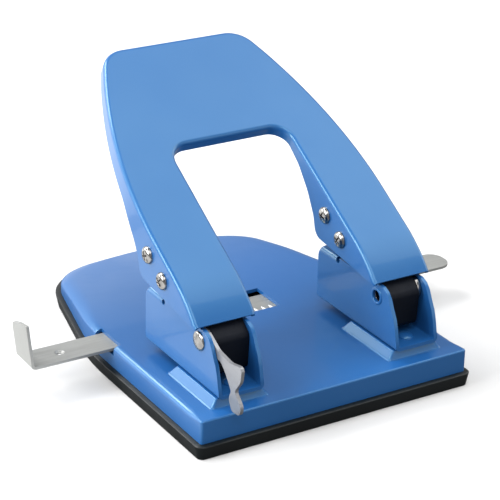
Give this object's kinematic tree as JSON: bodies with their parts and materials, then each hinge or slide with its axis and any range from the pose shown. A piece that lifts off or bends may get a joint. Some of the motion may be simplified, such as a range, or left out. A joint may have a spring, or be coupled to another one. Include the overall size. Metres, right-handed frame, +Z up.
{
  "type": "desk hole punch",
  "caption": "Blue sheet-steel desk paper punch: wide arched handle on two punch towers, cambered base with a chip tray, sliding paper guide and handle lock.",
  "frame": {"origin": "centre of the face that the object rests on, level with the desk", "axes": "+Z up; -Y towards the flat front edge where the towers stand; +Y towards the rounded rear where the paper is laid; +X to the right seen from the front"},
  "size_m": [0.204, 0.1672, 0.1147],
  "materials": {
    "blue_paint": "smooth semi-gloss enamel",
    "black_plastic": "satin moulded",
    "tool_steel": "ground",
    "bright_steel": "nickel plated",
    "black_steel": "satin black",
    "guide_steel": "brushed"
  },
  "bodies": {
    "base": {"base_plate": "blue_paint", "left_tower": "blue_paint", "right_tower": "blue_paint", "tower_rivets": "blue_paint", "left_die": "tool_steel", "right_die": "tool_steel", "left_return_spring": "bright_steel", "right_return_spring": "bright_steel", "left_pivot_pin": "bright_steel", "right_pivot_pin": "bright_steel", "pivot_spacer": "bright_steel", "guide_straps": "tool_steel", "guide_leaf_spring": "bright_steel"},
    "handle": {"handle": "blue_paint", "handle_screws": "bright_steel", "left_press_lever": "black_steel", "right_press_lever": "black_steel"},
    "left_punch": {"left_punch": "tool_steel", "left_punch_clip": "tool_steel"},
    "right_punch": {"right_punch": "tool_steel", "right_punch_clip": "tool_steel"},
    "paper_guide": {"paper_guide": "guide_steel"},
    "lock_lever": {"lock_lever": "bright_steel"},
    "chip_tray": {"chip_tray": "black_plastic"}
  },
  "joints": [
    {"name": "handle_press", "type": "hinge", "parent": "base", "child": "handle", "pos_m": [0, -0.058, 0.0373], "axis": [-1, 0, 0], "range_deg": [0, 20], "stiffness_Nm_per_rad": 2, "springref_deg": -17.19},
    {"name": "left_punch_slide", "type": "slide", "parent": "base", "child": "left_punch", "axis": [0, 0, -1], "range_m": [0, 0.0107], "deforming": ["left_return_spring"]},
    {"name": "right_punch_slide", "type": "slide", "parent": "base", "child": "right_punch", "axis": [0, 0, -1], "range_m": [0, 0.0107], "deforming": ["right_return_spring"]},
    {"name": "paper_guide_slide", "type": "slide", "parent": "base", "child": "paper_guide", "axis": [1, 0, 0], "range_m": [-0.04, 0.03]},
    {"name": "lock_lever_swing", "type": "hinge", "parent": "base", "child": "lock_lever", "pos_m": [-0.04725, -0.058, 0.0373], "axis": [-1, 0, 0], "range_deg": [0, 35]},
    {"name": "tray_open", "type": "hinge", "parent": "base", "child": "chip_tray", "pos_m": [0, 0.0805, 0.006], "axis": [1, 0, 0], "range_deg": [0, 45]}
  ],
  "couplings": [
    {"joint": "left_punch_slide", "follows": "handle_press", "m_per_rad": 0.0305},
    {"joint": "right_punch_slide", "follows": "handle_press", "m_per_rad": 0.0305}
  ]
}
